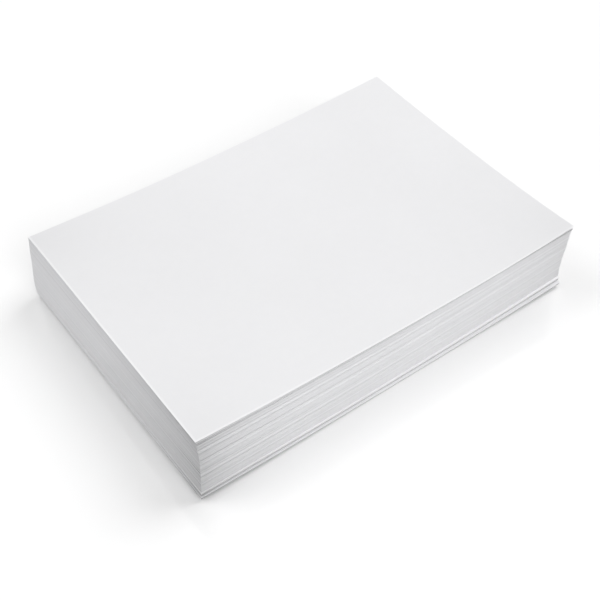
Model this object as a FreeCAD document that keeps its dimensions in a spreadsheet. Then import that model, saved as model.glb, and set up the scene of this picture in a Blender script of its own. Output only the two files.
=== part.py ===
# A ream of loose A4 copy paper: a stack of plain sheets with no wrapper.
# The frame: X along the sheets' long edge, Y along the short edge, Z up.
# The origin is the centre of the stack's footprint, on the surface that it stands on.
import FreeCAD, Part
import math
import os

# Driving dimensions, in millimetres and degrees
sizes = {
    # One sheet, and how many there are
    "sheet_long": 297,
    "sheet_short": 210,
    "sheet_thick": 0.1,
    "lift_sheets": 13,
    "lift_count": 38,
    "loose_count": 6,
    # The curl that the sheets have taken up: none up to flat_share, a share of the height, and
    # most at the top. It bends them about one line, which crosses the X axis at curl_centre_x
    # and is turned by curl_turn from the Y axis
    "flat_share": 0.1,
    "curl_radius": 3200,
    "curl_centre_x": -22,
    "curl_turn": 16,
    "blank_room": 2,
    # The air between the loose sheets, and how much more the top sheet curls than the lifts
    "air_gap": 0.1,
    "loose_curl": 0.1,
    # How far single lifts stray from their neighbours
    "jog_long": 0.12,
    "jog_short": 0.15,
    "jog_twist": 0.02,
    "jog_step": 137.5,
}

# How the stack leans, from the foot up: each station's share of the height, then the
# place of the sheets' centre and their turn about it at that height
stations = {
    "foot": {"level": 0.000, "x": -2.31, "y": -1.38, "turn": -0.20},
    "low_ledge": {"level": 0.040, "x": -2.31, "y": -1.48, "turn": -0.25},
    "low_step": {"level": 0.042, "x": -2.16, "y": -0.23, "turn": 0.06},
    "high_ledge": {"level": 0.092, "x": -2.06, "y": -0.33, "turn": 0.06},
    "high_step": {"level": 0.094, "x": -1.91, "y": 0.39, "turn": 0.16},
    "shank": {"level": 0.220, "x": -1.76, "y": 0.67, "turn": 0.27},
    "waist": {"level": 0.400, "x": -0.91, "y": 0.97, "turn": 0.24},
    "middle": {"level": 0.500, "x": -0.31, "y": 0.92, "turn": 0.11},
    "chest": {"level": 0.700, "x": 0.24, "y": 0.77, "turn": -0.02},
    "shoulder": {"level": 0.800, "x": 0.49, "y": 1.02, "turn": -0.20},
    "neck": {"level": 0.880, "x": 1.04, "y": 1.12, "turn": -0.36},
    "fan": {"level": 0.985, "x": 1.29, "y": 0.64, "turn": -0.58},
    "crown": {"level": 1.000, "x": 1.30, "y": 0.14, "turn": -0.74},
}

# Where the straying of each direction starts, in degrees, so that no two of them keep step
stray_starts = {"jog_long": 0, "jog_short": 90, "jog_twist": 45}


def make_sheet(document):
    """Put every driving dimension in a cell of its own, under its alias."""
    cells = document.addObject("Spreadsheet::Sheet", "dims")
    values = dict(sizes)
    for station, place in stations.items():
        for field, value in place.items():
            values[f"{station}_{field}"] = value
    for row, (alias, value) in enumerate(values.items(), start=1):
        cells.set(f"A{row}", alias)
        cells.set(f"B{row}", str(value))
        cells.setAlias(f"B{row}", alias)
    document.recompute()
    return cells


def station_pair(cells, level):
    """The stations just below and just above a level."""
    names = list(stations)
    for low, high in zip(names, names[1:]):
        if level <= cells.get(f"{high}_level"):
            return low, high
    return names[-2], names[-1]


def lean(cells, field, level):
    """The expression for the lean at a level, between the stations on each side of it."""
    low, high = station_pair(cells, level)
    share = f"({level} - dims.{low}_level) / (dims.{high}_level - dims.{low}_level)"
    return f"(dims.{low}_{field} + (dims.{high}_{field} - dims.{low}_{field}) * {share})"


def stray(size, order):
    """The expression for one lift's own small displacement, different for each lift."""
    return f"dims.{size} * sin(dims.jog_step * {order} + {stray_starts[size]})"


def place_blank(cells, blank, order, level, base):
    """Set a blank on its level, centred on the lean and turned about its own centre."""
    centre_x = f"({lean(cells, 'x', level)} + {stray('jog_long', order)})"
    centre_y = f"({lean(cells, 'y', level)} + {stray('jog_short', order)})"
    turn = f"({lean(cells, 'turn', level)} + {stray('jog_twist', order)})"
    half_long = "dims.sheet_long / 2"
    half_short = "dims.sheet_short / 2"
    # A turn of 0 has no axis, so the axis is set with some turn and the expression gives the turn
    upright = FreeCAD.Vector(0, 0, 1)
    blank.Placement.Rotation = FreeCAD.Rotation(upright, 1)
    blank.setExpression("Placement.Rotation.Angle", turn)
    blank.setExpression(
        "Placement.Base.x", f"{centre_x} - cos({turn}) * {half_long} + sin({turn}) * {half_short}"
    )
    blank.setExpression(
        "Placement.Base.y", f"{centre_y} - sin({turn}) * {half_long} - cos({turn}) * {half_short}"
    )
    blank.setExpression("Placement.Base.z", base)


def make_blank(document, cells, name, order, level, base, height):
    """A flat block with the sheets' outline."""
    blank = document.addObject("Part::Box", name)
    blank.setExpression("Length", "dims.sheet_long")
    blank.setExpression("Width", "dims.sheet_short")
    blank.setExpression("Height", height)
    place_blank(cells, blank, order, level, base)
    return blank


def curl_reach(cells):
    """Further than any corner of the sheets lies from the middle of the curl's line."""
    reach_x = cells.get("sheet_long") / 2 + abs(cells.get("curl_centre_x"))
    return math.hypot(reach_x, cells.get("sheet_short") / 2) + cells.get("blank_room")


def make_trough(document, cells, name, radius, centre_height):
    """A lying cylinder whose lowest stretch is one face of a curled lift."""
    trough = document.addObject("Part::Cylinder", name)
    half_length = curl_reach(cells)
    trough.setExpression("Radius", radius)
    trough.setExpression("Height", f"2 * {half_length}")
    end_x = f"dims.curl_centre_x + sin(dims.curl_turn) * {half_length}"
    end_y = f"-cos(dims.curl_turn) * {half_length}"
    lying = "rotation(vector(-cos(dims.curl_turn); -sin(dims.curl_turn); 0); 90)"
    trough.setExpression(
        "Placement", f"placement(vector({end_x}; {end_y}; {centre_height}); {lying})"
    )
    return trough


def make_flat(document, cells, label, order, level, base, sheets):
    """Sheets that lie flat on what is under them."""
    flat = make_blank(document, cells, label, order, level, base, f"dims.sheet_thick * {sheets}")
    flat.Label = label
    return flat


def make_curled(document, cells, label, order, level, base, sheets, radius):
    """Sheets that follow the curl: the blank between two cylinders about one axis."""
    thick = f"dims.sheet_thick * {sheets}"
    # Twice what the curl rises at the furthest corner, so that the blank is tall enough
    rise = f"{curl_reach(cells) ** 2} / ({radius})"
    blank = make_blank(
        document, cells, f"{label}_blank", order, level, base, f"{thick} + {rise} + dims.blank_room"
    )
    centre_height = f"{base} + {radius}"
    under = make_trough(document, cells, f"{label}_under", radius, centre_height)
    over = make_trough(document, cells, f"{label}_over", f"{radius} - {thick}", centre_height)
    pressed = document.addObject("Part::Common", f"{label}_pressed")
    pressed.Base = blank
    pressed.Tool = under
    curled = document.addObject("Part::Cut", label)
    curled.Base = pressed
    curled.Tool = over
    curled.Label = label
    return curled


def sheet_total(cells):
    """How many sheets the ream holds."""
    lifts = int(cells.get("lift_count")) * int(cells.get("lift_sheets"))
    return lifts + int(cells.get("loose_count"))


def make_lifts(document, cells):
    """The body of the ream: lifts of pressed sheets, flat at the foot and curled above it."""
    lifts = []
    sheets = int(cells.get("lift_sheets"))
    total = sheet_total(cells)
    for order in range(int(cells.get("lift_count"))):
        label = f"lift_{order + 1:02d}"
        below = order * sheets
        level = (below + sheets / 2) / total
        base = f"dims.sheet_thick * {below}"
        if below / total < cells.get("flat_share"):
            lift = make_flat(document, cells, label, order, level, base, sheets)
        else:
            radius = f"(dims.curl_radius * {total} / {below})"
            lift = make_curled(document, cells, label, order, level, base, sheets, radius)
        lifts.append(lift)
    return lifts


def make_loose(document, cells):
    """The top sheets, which lie loose and curl a little more from one to the next."""
    loose = []
    count = int(cells.get("loose_count"))
    lifts = int(cells.get("lift_count"))
    for order in range(count):
        label = "top_sheet" if order == count - 1 else f"loose_sheet_{order + 1:02d}"
        below = lifts * int(cells.get("lift_sheets")) + order
        level = below / sheet_total(cells)
        base = f"dims.sheet_thick * {below} + dims.air_gap * {order + 1}"
        radius = f"(dims.curl_radius / (1 + dims.loose_curl * {order + 1} / dims.loose_count))"
        loose.append(make_curled(document, cells, label, lifts + order, level, base, 1, radius))
    return loose


def check_document(document, pieces):
    """Stop if any object failed or any piece isn't one sound solid."""
    for item in document.Objects:
        if "Invalid" in item.State or "Error" in item.State:
            raise RuntimeError(f"{item.Label} failed: {item.State}")
    for piece in pieces:
        shape = piece.Shape
        if shape.isNull() or not shape.isValid() or len(shape.Solids) != 1:
            raise RuntimeError(f"{piece.Label} isn't one valid solid")


def main():
    document = FreeCAD.newDocument("ream")
    cells = make_sheet(document)
    pieces = make_lifts(document, cells) + make_loose(document, cells)
    document.recompute()
    check_document(document, pieces)
    os.makedirs("parts", exist_ok=True)
    box = FreeCAD.BoundBox()
    for piece in pieces:
        piece.Shape.exportStep(f"parts/{piece.Label}.step")
        for corner in piece.Shape.Vertexes:
            box.add(corner.Point)
    print(f"{len(pieces)} pieces, {sheet_total(cells)} sheets")
    print(f"x {box.XMin:.2f} to {box.XMax:.2f}")
    print(f"y {box.YMin:.2f} to {box.YMax:.2f}")
    print(f"z {box.ZMin:.2f} to {box.ZMax:.2f}")


main()
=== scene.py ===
import math
import random
import bpy
import bmesh
from mathutils import Matrix, Vector


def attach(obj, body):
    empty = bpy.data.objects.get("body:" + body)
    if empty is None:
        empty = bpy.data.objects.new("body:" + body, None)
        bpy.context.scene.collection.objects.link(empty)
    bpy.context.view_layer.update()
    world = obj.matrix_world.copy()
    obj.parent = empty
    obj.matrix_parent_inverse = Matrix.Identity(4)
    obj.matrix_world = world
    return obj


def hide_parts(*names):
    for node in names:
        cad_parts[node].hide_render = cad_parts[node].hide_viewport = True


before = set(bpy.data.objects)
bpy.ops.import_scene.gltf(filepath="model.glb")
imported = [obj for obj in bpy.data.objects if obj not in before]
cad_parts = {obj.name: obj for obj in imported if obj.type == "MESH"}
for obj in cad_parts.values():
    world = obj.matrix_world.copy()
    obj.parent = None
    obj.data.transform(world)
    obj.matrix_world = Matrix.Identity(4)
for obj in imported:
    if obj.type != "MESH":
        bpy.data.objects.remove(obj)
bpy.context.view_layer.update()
mm = 0.001  # the scene is in metres

# A ream of A4 copy paper with no wrapper: 500 loose sheets on a white studio floor.
# X runs along the sheets' long edge, Y along the short edge, Z up from the floor.
# The near corner is the one at low X and low Y, and the far end is the one at high X.

# One sheet
sheet = {
    "long": 297 * mm,
    "short": 210 * mm,
    "pitch": 0.1 * mm,  # from one sheet to the next
    "thick": 0.096 * mm,  # the rest of the pitch is the air between two cut edges
    "cells": (12, 8),  # how finely it bends along and across
    "crease": 30,  # degrees, past which an edge looks sharp
}

# The ream, counted from the floor up
ream = {
    "lifts": 38,
    "sheetsPerLift": 13,
    "looseSheets": 6,
}

totalSheets = ream["lifts"] * ream["sheetsPerLift"] + ream["looseSheets"]


class Wire:
    # A shader socket that takes part in sums
    def __init__(self, tree, socket):
        self.tree = tree
        self.socket = socket

    def sibling(self, name):
        # Another output of the same node
        return Wire(self.tree, self.socket.node.outputs[name])

    def maths(self, operation, first, second):
        return self.tree.add("Math", {"operation": operation}, {0: first, 1: second})

    def __add__(self, other):
        return self.maths("ADD", self, other)

    def __radd__(self, other):
        return self.maths("ADD", other, self)

    def __sub__(self, other):
        return self.maths("SUBTRACT", self, other)

    def __rsub__(self, other):
        return self.maths("SUBTRACT", other, self)

    def __mul__(self, other):
        return self.maths("MULTIPLY", self, other)

    def __rmul__(self, other):
        return self.maths("MULTIPLY", other, self)


class Tree:
    # The nodes of one material or of the world
    def __init__(self, owner):
        owner.use_nodes = True
        self.tree = owner.node_tree
        self.tree.nodes.clear()

    def add(self, kind, settings=None, inputs=None, output=0):
        node = self.tree.nodes.new("ShaderNode" + kind)
        for name, value in (settings or {}).items():
            setattr(node, name, value)
        for name, value in (inputs or {}).items():
            if isinstance(value, Wire):
                self.tree.links.new(value.socket, node.inputs[name])
            else:
                node.inputs[name].default_value = value
        return Wire(self, node.outputs[output] if len(node.outputs) else None)


# How white the paper is, and its painted shade, where it is greyer for light that falls off
# towards some corners:
# most at a corner, which is given as a share of the long edge and of the short edge away from the
# near corner, and half as much at each further step along and across the sheet. The top sheet also
# has a painted highlight, a rim of light on its two near edges
paper = {
    "stack": {
        "white": 0.905,
        "paintedShades": [
            {"corner": (0, 0), "amount": 0.195, "along": 15 * mm, "across": 48 * mm},
            {"corner": (0, 0), "amount": 0.082, "along": 60 * mm, "across": 60 * mm},
            {"corner": (0, 1), "amount": 0.03, "along": 30 * mm, "across": 50 * mm},
            {"corner": (1, 0), "amount": 0.12, "along": 35 * mm, "across": 60 * mm},
        ],
    },
    "top": {
        "white": 0.866,
        "rimHighlight": {"white": 0.12, "width": 1.6 * mm},
        "paintedShades": [
            {"corner": (0, 0), "amount": 0.045, "along": 40 * mm, "across": 40 * mm},
            {"corner": (0, 1), "amount": 0.085, "along": 50 * mm, "across": 50 * mm},
            {"corner": (1, 0), "amount": 0.06, "along": 60 * mm, "across": 60 * mm},
        ],
    },
}

# The paper's grain, from broad clouds to single fibres, and how its surface takes the light
grain = {
    "cloud": {"Scale": 14, "Detail": 3, "Roughness": 0.5},
    "flock": {"Scale": 160, "Detail": 3, "Roughness": 0.6},
    "fibre": {"Scale": 1400, "Detail": 2, "Roughness": 0.6},
    "cloudTone": 0.04,  # how much lighter or darker each makes the paper
    "flockTone": 0.02,
    "fibreTone": 0.02,
    "bump": 0.12,
    "bumpHeight": 0.1 * mm,
    "flockBump": 0.5,  # against the fibres' own
    "roughness": 0.78,
    "fibreRoughness": 0.12,
    "shine": 0.25,
    "blue": 1.014,  # against the red and the green
}


def makePaper(name, finish):
    material = bpy.data.materials.new(name)
    tree = Tree(material)
    place = tree.add("TexCoord", output="Object")
    cloud = tree.add("TexNoise", inputs={"Vector": place, **grain["cloud"]})
    flock = tree.add("TexNoise", inputs={"Vector": place, **grain["flock"]})
    fibre = tree.add("TexNoise", inputs={"Vector": place, **grain["fibre"]})
    # Each sheet's random tone, plus the painted highlight and shade lines of the slipped packets
    tone = tree.add("Attribute", {"attribute_name": "sheetToneAndShading"}, output="Fac")
    white = finish["white"] + (cloud - 0.5) * grain["cloudTone"]
    white = white + (flock - 0.5) * grain["flockTone"] + (fibre - 0.5) * grain["fibreTone"] + tone
    uv = tree.add("UVMap", {"uv_map": "sheet"})
    # Painted shade: the paper is greyer towards the corners where the light falls off
    for paintedShade in finish["paintedShades"]:
        steps = (sheet["long"] / paintedShade["along"], sheet["short"] / paintedShade["across"], 0)
        away = tree.add("VectorMath", {"operation": "SUBTRACT"}, {0: uv, 1: (*paintedShade["corner"], 0)})
        away = tree.add("VectorMath", {"operation": "MULTIPLY"}, {0: away, 1: steps})
        away = tree.add("VectorMath", {"operation": "LENGTH"}, {0: away}, output="Value")
        white = white - away.maths("POWER", 0.5, away) * paintedShade["amount"]
    # Painted highlight: a rim of light along the top sheet's two near edges
    if "rimHighlight" in finish:
        rimHighlight = finish["rimHighlight"]
        along = tree.add("SeparateXYZ", inputs={0: uv})
        across = along.sibling("Y") * sheet["short"]
        inward = across.maths("MINIMUM", along * sheet["long"], across)
        fade = {0: inward, 1: 0, 2: rimHighlight["width"], 3: rimHighlight["white"], 4: 0}
        white = white + tree.add("MapRange", inputs=fade)
    # Of a Mix node's sockets, 6 and 7 are the two colours, and output 2 is their mixture
    colour = tree.add(
        "Mix",
        {"data_type": "RGBA"},
        {"Factor": white, 6: (0, 0, 0, 1), 7: (1, 1, grain["blue"], 1)},
        output=2,
    )
    height = fibre + flock * grain["flockBump"]
    bump = tree.add(
        "Bump",
        inputs={"Strength": grain["bump"], "Distance": grain["bumpHeight"], "Height": height},
    )
    surface = tree.add(
        "BsdfPrincipled",
        inputs={
            "Base Color": colour,
            "Roughness": grain["roughness"] + fibre * grain["fibreRoughness"],
            "Specular IOR Level": grain["shine"],
            "Normal": bump,
        },
    )
    tree.add("OutputMaterial", inputs={"Surface": surface})
    return material


# How the stack leans: at each share of its height, the place of the sheets' centre and their
# turn in degrees
lean = [
    {"level": 0.000, "x": -1.95 * mm, "y": -1.60 * mm, "turn": -0.24},
    {"level": 0.040, "x": -1.95 * mm, "y": -1.65 * mm, "turn": -0.26},
    {"level": 0.042, "x": -1.80 * mm, "y": -0.45 * mm, "turn": 0.06},
    {"level": 0.092, "x": -1.80 * mm, "y": -0.45 * mm, "turn": 0.06},
    {"level": 0.094, "x": -1.51 * mm, "y": 0.39 * mm, "turn": 0.16},
    {"level": 0.220, "x": -1.36 * mm, "y": 0.67 * mm, "turn": 0.27},
    {"level": 0.400, "x": -0.51 * mm, "y": 0.97 * mm, "turn": 0.24},
    {"level": 0.500, "x": 0.09 * mm, "y": 0.92 * mm, "turn": 0.11},
    {"level": 0.700, "x": 0.64 * mm, "y": 0.77 * mm, "turn": -0.02},
    {"level": 0.800, "x": 0.89 * mm, "y": 1.02 * mm, "turn": -0.20},
    {"level": 0.880, "x": 1.44 * mm, "y": 1.12 * mm, "turn": -0.36},
    {"level": 0.985, "x": 1.39 * mm, "y": 0.64 * mm, "turn": -0.58},
    {"level": 1.000, "x": 1.30 * mm, "y": 0.14 * mm, "turn": -0.74},
]

# Packets that slid out of the stack or into it, from a share of its height up: how many sheets,
# how many mm the lowest stands out of the long side at its near and far end and out of the near
# short side, the sheets above it less and less, and how much lighter the packet is painted on the
# long side at its near and far end: painted highlight where a ledge catches the light, and painted
# shade, negative, in the gaps under overhangs, under the top sheet and at the foot
slips = [
    {"level": 0.000, "sheets": 7, "out": (0, 0), "side": 0, "tone": (-0.26, -0.20)},
    {"level": 0.014, "sheets": 14, "out": (0, 0), "side": 0, "tone": (-0.02, 0.07)},
    {"level": 0.034, "sheets": 3, "out": (0, 0), "side": 0, "tone": (0.12, 0.12)},
    {"level": 0.042, "sheets": 13, "out": (0, 0), "side": 0, "tone": (-0.24, -0.26)},
    {"level": 0.068, "sheets": 13, "out": (0, 0), "side": 0, "tone": (-0.03, 0.07)},
    {"level": 0.088, "sheets": 3, "out": (0, 0), "side": 0, "tone": (0.12, 0.12)},
    {"level": 0.106, "sheets": 3, "out": (-0.2, -0.1), "side": 0, "tone": (-0.16, 0)},
    {"level": 0.220, "sheets": 4, "out": (-0.4, -0.1), "side": -0.1, "tone": (-0.18, 0)},
    {"level": 0.240, "sheets": 8, "out": (0.2, 0.2), "side": 0, "tone": (0.06, 0.04)},
    {"level": 0.290, "sheets": 3, "out": (-0.4, -0.1), "side": -0.1, "tone": (-0.18, 0)},
    {"level": 0.360, "sheets": 4, "out": (-0.4, -0.1), "side": 0, "tone": (-0.18, 0)},
    {"level": 0.405, "sheets": 8, "out": (0.3, 0.3), "side": 0, "tone": (0.07, 0.04)},
    {"level": 0.432, "sheets": 4, "out": (-0.8, -0.2), "side": -0.1, "tone": (-0.36, -0.05)},
    {"level": 0.450, "sheets": 5, "out": (0.1, 0.1), "side": 0, "tone": (0.05, 0.05)},
    {"level": 0.468, "sheets": 3, "out": (-0.4, -0.1), "side": -0.1, "tone": (-0.25, 0)},
    {"level": 0.500, "sheets": 3, "out": (-0.3, -0.1), "side": -0.1, "tone": (-0.20, 0)},
    {"level": 0.585, "sheets": 4, "out": (-0.4, -0.1), "side": -0.2, "tone": (-0.20, -0.02)},
    {"level": 0.600, "sheets": 12, "out": (0.3, 0.4), "side": 0, "tone": (0.06, 0.03)},
    {"level": 0.655, "sheets": 4, "out": (-0.5, -0.1), "side": -0.2, "tone": (-0.28, -0.03)},
    {"level": 0.730, "sheets": 6, "out": (0.1, 0.1), "side": 0, "tone": (0.04, 0.04)},
    {"level": 0.778, "sheets": 4, "out": (-0.6, -0.2), "side": -0.3, "tone": (-0.28, -0.05)},
    {"level": 0.795, "sheets": 12, "out": (0.3, 0.5), "side": 0.1, "tone": (0.07, 0.05)},
    {"level": 0.842, "sheets": 4, "out": (-0.6, -0.2), "side": -0.3, "tone": (-0.28, -0.06)},
    {"level": 0.860, "sheets": 8, "out": (0.1, 0.1), "side": 0.1, "tone": (0.03, 0.02)},
    {"level": 0.890, "sheets": 4, "out": (-0.7, -0.2), "side": -0.4, "tone": (-0.30, -0.04)},
    {"level": 0.905, "sheets": 6, "out": (0.1, 0), "side": 0.1, "tone": (0.03, 0)},
    {"level": 0.930, "sheets": 6, "out": (-0.4, -0.2), "side": -0.4, "tone": (-0.30, -0.12)},
    {"level": 0.952, "sheets": 8, "out": (0, 0), "side": -0.3, "tone": (-0.24, -0.22)},
    {"level": 0.972, "sheets": 7, "out": (0, 0), "side": 0, "tone": (0, -0.42)},
]

# What handling does to every sheet
handling = {
    "seed": 500,
    "packet": (3, 14),  # fewest and most sheets that move as one
    "packetSlide": 0.07 * mm,
    "packetTurn": 0.015,  # degrees
    "sheetSlide": 0.02 * mm,
    "packetTone": 0.022,  # lighter or darker than the rest
    "sheetToneAndShading": 0.022,
}


def leanAt(level):
    for low, high in zip(lean, lean[1:]):
        if level <= high["level"]:
            break
    share = (level - low["level"]) / (high["level"] - low["level"])
    return [low[key] + (high[key] - low[key]) * share for key in ("x", "y", "turn")]


def layOut():
    # Every sheet's place, turn and random tone, and the painted highlight and shade of the slipped
    # packets that it is in, from the floor up
    dice = random.Random(handling["seed"])
    places = []
    left = 0
    for number in range(totalSheets):
        if left == 0:
            left = dice.randint(*handling["packet"])
            packet = [dice.gauss(0, handling["packetSlide"]) for _ in range(2)]
            packet.append(dice.gauss(0, handling["packetTurn"]))
            packetTone = dice.uniform(-1, 1) * handling["packetTone"]
        left -= 1
        x, y, turn = leanAt(number / totalSheets)
        x += packet[0] + dice.gauss(0, handling["sheetSlide"])
        y += packet[1] + dice.gauss(0, handling["sheetSlide"])
        turn = math.radians(turn + packet[2])
        tone = packetTone + dice.uniform(-1, 1) * handling["sheetToneAndShading"]
        lines = [0, 0]
        for slip in slips:
            share = 1 - (number - slip["level"] * totalSheets) / slip["sheets"]
            if 0 < share <= 1:
                near, far = (out * mm for out in slip["out"])
                y -= (near + far) / 2 * share
                turn += (near - far) / sheet["long"] * share
                x -= slip["side"] * mm * share
                # Painted highlight and shade lines for the lit ledges and shadowed gaps of the
                # slipped packets
                lines = [paintedLine + more for paintedLine, more in zip(lines, slip["tone"])]
        places.append({"x": x, "y": y, "turn": turn, "tone": tone, "lines": lines})
    return places


# The curl: the sheets bend about one line, which crosses the X axis at x and is turned from
# the Y axis
curl = {
    "radius": 3200 * mm,
    "x": -22 * mm,
    "turn": 16,  # degrees
    "footShare": 0.75,  # how much of it the lowest sheet has
    "wholeLevel": 0.3,  # the share of the height at which it is whole
    "farDroop": 1.3 * mm,  # how far the crown's far short edge hangs between its corners
    "backDip": 0.5 * mm,  # a hollow in the crown's back long edge
    "backDipX": -60 * mm,
    "backDipWidth": 60 * mm,
}


def curlHeight(x, y, level):
    # How high a sheet at this level, a share of the ream's height, stands above the curl's bottom
    turn = math.radians(curl["turn"])
    across = (x - curl["x"]) * math.cos(turn) + y * math.sin(turn)
    far = 0.5 + x / sheet["long"]
    back = 0.5 + y / sheet["short"]
    droop = curl["farDroop"] * far * far * (1 - (2 * y / sheet["short"]) ** 2)
    fromDip = (x - curl["backDipX"]) / curl["backDipWidth"]
    dip = curl["backDip"] * back * back * math.exp(-(fromDip**2))
    kept = min(1, curl["footShare"] + (1 - curl["footShare"]) * level / curl["wholeLevel"])
    bend = max(kept, level) * across * across / (2 * curl["radius"])
    return bend - level * (droop + dip)


# How the packets' painted highlight and shade fade with the distance from the long side: the power
# of the fade, and the share of it that stays for good at the crown, and less and less of it
# further down
paintedLineFade = {"power": 10, "rest": 0.5}

# The loose sheets have more air between them and curl a little more
looseSheets = {"air": 0.03 * mm, "moreCurl": 0.1}

# The top sheet has slid over those under it and lifted at the corner on the camera's right
topSheet = {
    "slide": -0.2 * mm,  # along Y
    "turn": -0.05,  # degrees
    "cornerLift": 2.0 * mm,
    "liftReach": 120 * mm,
    "liftPower": 3,
    "cells": (24, 16),
}


def addSheet(bm, place, base, level, cells, lift=0):
    # One closed sheet
    tone = bm.verts.layers.float["sheetToneAndShading"]
    uv = bm.loops.layers.uv["sheet"]
    size = Matrix.Diagonal((sheet["long"], sheet["short"], 1, 1))
    put = (
        Matrix.Translation((place["x"], place["y"], 0))
        @ Matrix.Rotation(place["turn"], 4, "Z")
        @ size
        @ Matrix.Translation((-0.5, -0.5, 0))
    )
    unit = Matrix.Translation((0.5, 0.5, 0)) @ Matrix.Scale(0.5, 4)
    back = put.inverted()
    made = bmesh.ops.create_grid(
        bm, x_segments=cells[0], y_segments=cells[1], size=1, matrix=put @ unit
    )
    corner = put @ Vector((1, 0, 0))
    rest = paintedLineFade["rest"] * level * level
    for vert in made["verts"]:
        vert.co.z = base + curlHeight(vert.co.x, vert.co.y, level)
        if lift:
            near = 1 - min(1, (vert.co.xy - corner.xy).length / topSheet["liftReach"])
            vert.co.z += lift * near ** topSheet["liftPower"]
        along, across, _ = back @ vert.co
        # Painted highlight and shade lines along the long side, fading away from it
        paintedLine = place["lines"][0] + (place["lines"][1] - place["lines"][0]) * along
        fade = max(0, 1 - across) ** paintedLineFade["power"]
        vert[tone] = place["tone"] + paintedLine * (rest + (1 - rest) * fade)
    # Each face once, in the same order every time, which a set wouldn't give
    faces = dict.fromkeys(face for vert in made["verts"] for face in vert.link_faces)
    shell = bmesh.ops.solidify(bm, geom=list(faces), thickness=-sheet["thick"])
    verts = [item for item in shell["geom"] if isinstance(item, bmesh.types.BMVert)]
    for face in {face for vert in verts + made["verts"] for face in vert.link_faces}:
        for loop in face.loops:
            loop[uv].uv = (back @ loop.vert.co).xy


def makePiece(node, material, sheets):
    # One piece of the ream, from the list of its sheets' arguments
    bm = bmesh.new()
    bm.verts.layers.float.new("sheetToneAndShading")
    bm.loops.layers.uv.new("sheet")
    for arguments in sheets:
        addSheet(bm, *arguments)
    bmesh.ops.recalc_face_normals(bm, faces=bm.faces[:])
    for face in bm.faces:
        face.smooth = True
    for edge in bm.edges:
        edge.smooth = edge.calc_face_angle(0) < math.radians(sheet["crease"])
    mesh = bpy.data.meshes.new(node)
    bm.to_mesh(mesh)
    bm.free()
    mesh.materials.append(material)
    piece = bpy.data.objects.new(f"{node}_sheets", mesh)
    bpy.context.scene.collection.objects.link(piece)
    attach(piece, "root")
    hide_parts(node)


def makeReam():
    places = layOut()
    plain = makePaper("copyPaper", paper["stack"])
    rimmed = makePaper("topPaper", paper["top"])
    for order in range(ream["lifts"]):
        first = order * ream["sheetsPerLift"]
        sheets = []
        for number in range(first, first + ream["sheetsPerLift"]):
            base = number * sheet["pitch"]
            sheets.append((places[number], base, number / totalSheets, sheet["cells"]))
        makePiece(f"lift_{order + 1:02d}", plain, sheets)
    print("lifts made")
    first = ream["lifts"] * ream["sheetsPerLift"]
    for order in range(ream["looseSheets"]):
        number = first + order
        share = (order + 1) / ream["looseSheets"]
        level = 1 + looseSheets["moreCurl"] * share
        base = number * sheet["pitch"] + looseSheets["air"] * (order + 1)
        if number < totalSheets - 1:
            row = (places[number], base, level, sheet["cells"])
            makePiece(f"loose_sheet_{order + 1:02d}", plain, [row])
        else:
            places[number]["y"] += topSheet["slide"]
            places[number]["turn"] += math.radians(topSheet["turn"])
            row = (places[number], base, level, topSheet["cells"], topSheet["cornerLift"])
            makePiece("top_sheet", rimmed, [row])
    print("loose sheets made")


# The floor, polished and a little bright to the camera, and matt to the light that it sends up
stage = {
    "size": 30,
    "shine": 0.15,
    "roughness": 0.12,
    "glow": 0.03,
    "bounce": 0.8,
}


def makeFloor():
    bm = bmesh.new()
    bmesh.ops.create_grid(bm, x_segments=1, y_segments=1, size=stage["size"] / 2)
    mesh = bpy.data.meshes.new("floor")
    bm.to_mesh(mesh)
    bm.free()
    floor = bpy.data.objects.new("floor", mesh)
    bpy.context.scene.collection.objects.link(floor)
    material = bpy.data.materials.new("whiteFloor")
    mesh.materials.append(material)
    tree = Tree(material)
    seen = tree.add("LightPath", output="Is Camera Ray")
    matt = tree.add("BsdfDiffuse", inputs={"Color": (stage["bounce"],) * 3 + (1,)})
    white = tree.add("BsdfDiffuse", inputs={"Color": (1, 1, 1, 1)})
    shine = tree.add("BsdfGlossy", inputs={"Roughness": stage["roughness"]})
    polished = tree.add("MixShader", inputs={0: stage["shine"], 1: white, 2: shine})
    glow = tree.add("Emission", inputs={"Strength": stage["glow"]})
    shown = tree.add("AddShader", inputs={0: polished, 1: glow})
    surface = tree.add("MixShader", inputs={0: seen, 1: matt, 2: shown})
    tree.add("OutputMaterial", inputs={"Surface": surface})
    print("floor made")


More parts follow.
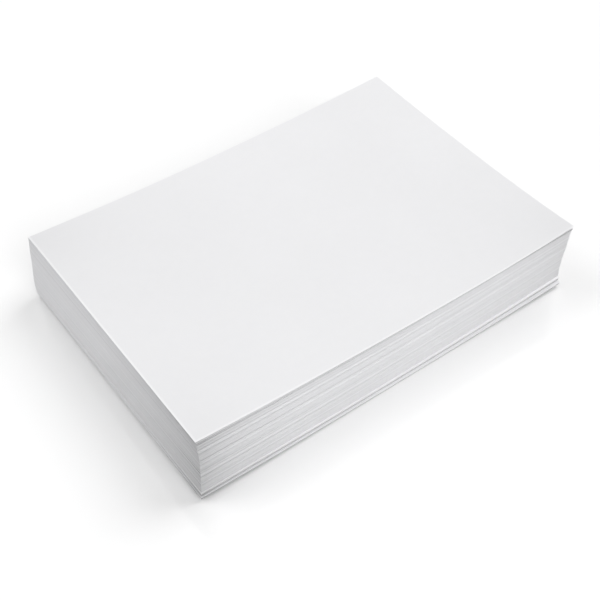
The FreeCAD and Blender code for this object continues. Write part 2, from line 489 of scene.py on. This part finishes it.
# The world is white to the camera and in the floor's shine, and dimmer as light on the paper
light = {
    "world": 0.24,
    "softness": 40,  # degrees, how wide each lamp looks
    "lamps": [
        {"name": "rightLamp", "strength": 1.35, "from": (0.64, 0.0, 0.77)},
        {"name": "frontLamp", "strength": 1.20, "from": (0.0, -0.77, 0.64)},
        {"name": "backLamp", "strength": 0.96, "from": (-0.5, 0.5, 0.71)},
    ],
}


def makeLight():
    world = bpy.data.worlds.new("studio")
    bpy.context.scene.world = world
    tree = Tree(world)
    seen = tree.add("LightPath", output="Is Camera Ray")
    shown = seen.maths("MAXIMUM", seen, seen.sibling("Is Glossy Ray"))
    strength = light["world"] + (1 - light["world"]) * shown
    background = tree.add("Background", inputs={"Color": (1, 1, 1, 1), "Strength": strength})
    tree.add("OutputWorld", inputs={"Surface": background})
    for row in light["lamps"]:
        lamp = bpy.data.lights.new(row["name"], "SUN")
        lamp.energy = row["strength"]
        lamp.angle = math.radians(light["softness"])
        lampObject = bpy.data.objects.new(row["name"], lamp)
        lampObject.rotation_mode = "QUATERNION"
        lampObject.rotation_quaternion = (-Vector(row["from"])).to_track_quat("-Z", "Y")
        bpy.context.scene.collection.objects.link(lampObject)
    print("lights made")


camera = {
    "place": (-310.49 * mm, -424.64 * mm, 543.58 * mm),
    "azimuth": -36.173,  # degrees, as are the next two
    "elevation": 46.557,
    "roll": -0.592,
    "lens": 64.68,
    "sensor": 36,
    "reach": 100,  # metres
}


def makeCamera():
    data = bpy.data.cameras.new("camera")
    data.lens = camera["lens"]
    data.sensor_width = camera["sensor"]
    data.clip_end = camera["reach"]
    viewer = bpy.data.objects.new("camera", data)
    azimuth, elevation, roll = (
        math.radians(camera[key]) for key in ("azimuth", "elevation", "roll")
    )
    back = Vector(
        (
            math.sin(azimuth) * math.cos(elevation),
            -math.cos(azimuth) * math.cos(elevation),
            math.sin(elevation),
        )
    )
    aim = (-back).to_track_quat("-Z", "Y").to_matrix().to_4x4()
    viewer.matrix_world = Matrix.Translation(camera["place"]) @ aim @ Matrix.Rotation(roll, 4, "Z")
    bpy.context.scene.collection.objects.link(viewer)
    bpy.context.scene.camera = viewer
    print("camera made")


makeCamera()
makeReam()
makeFloor()
makeLight()
bpy.context.scene.view_settings.view_transform = "Standard"
